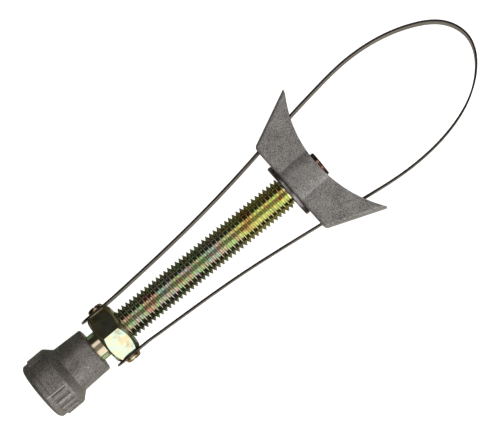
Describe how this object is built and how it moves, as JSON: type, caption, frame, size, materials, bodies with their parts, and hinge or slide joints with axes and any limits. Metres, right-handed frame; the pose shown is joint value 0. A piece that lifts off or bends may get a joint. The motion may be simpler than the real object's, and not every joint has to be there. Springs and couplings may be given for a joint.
{
  "type": "oil filter wrench",
  "caption": "Strap oil filter wrench: a steel band loop through a curved jaw, drawn tight by a nut on a threaded spindle with a ribbed knob.",
  "frame": {"origin": "centre of the knob's flat end face, on the spindle's axis", "axes": "+X along the spindle from the knob to the strap loop, +Z across the strap's width, +Y to the side of strap_screw_left"},
  "size_m": [0.198, 0.0555, 0.024],
  "materials": {
    "cast_grip": "die-cast, satin, finely speckled",
    "cast_jaw": "die-cast, satin, finely speckled",
    "yellow_zinc_spindle": "yellow zinc plating, glossy and iridescent",
    "yellow_zinc_nut": "yellow zinc plating, glossy and iridescent",
    "yellow_zinc_screw": "yellow zinc plating, satin",
    "strap_steel": "rolled spring steel, dull, with dark cut edges",
    "dark_steel": "blackened steel, satin"
  },
  "bodies": {
    "jaw": {"jaw": "cast_jaw", "thrust_collar": "dark_steel", "retaining_pin": "dark_steel"},
    "spindle": {"spindle": "yellow_zinc_spindle", "knob": "cast_grip"},
    "nut": {"nut": "yellow_zinc_nut", "strap": "strap_steel", "strap_screw_left": "yellow_zinc_screw", "strap_screw_right": "yellow_zinc_screw"}
  },
  "joints": [
    {"name": "spindle_turn", "type": "hinge", "parent": "jaw", "child": "spindle", "pos_m": [0.1211, 0, 0], "axis": [-1, 0, 0], "range_deg": [0, 12240]},
    {"name": "nut_travel", "type": "slide", "parent": "jaw", "child": "nut", "axis": [1, 0, 0], "range_m": [0, 0.0596], "deforming": ["strap"]}
  ],
  "couplings": [
    {"joint": "nut_travel", "follows": "spindle_turn", "m_per_rad": 0.00027852}
  ]
}
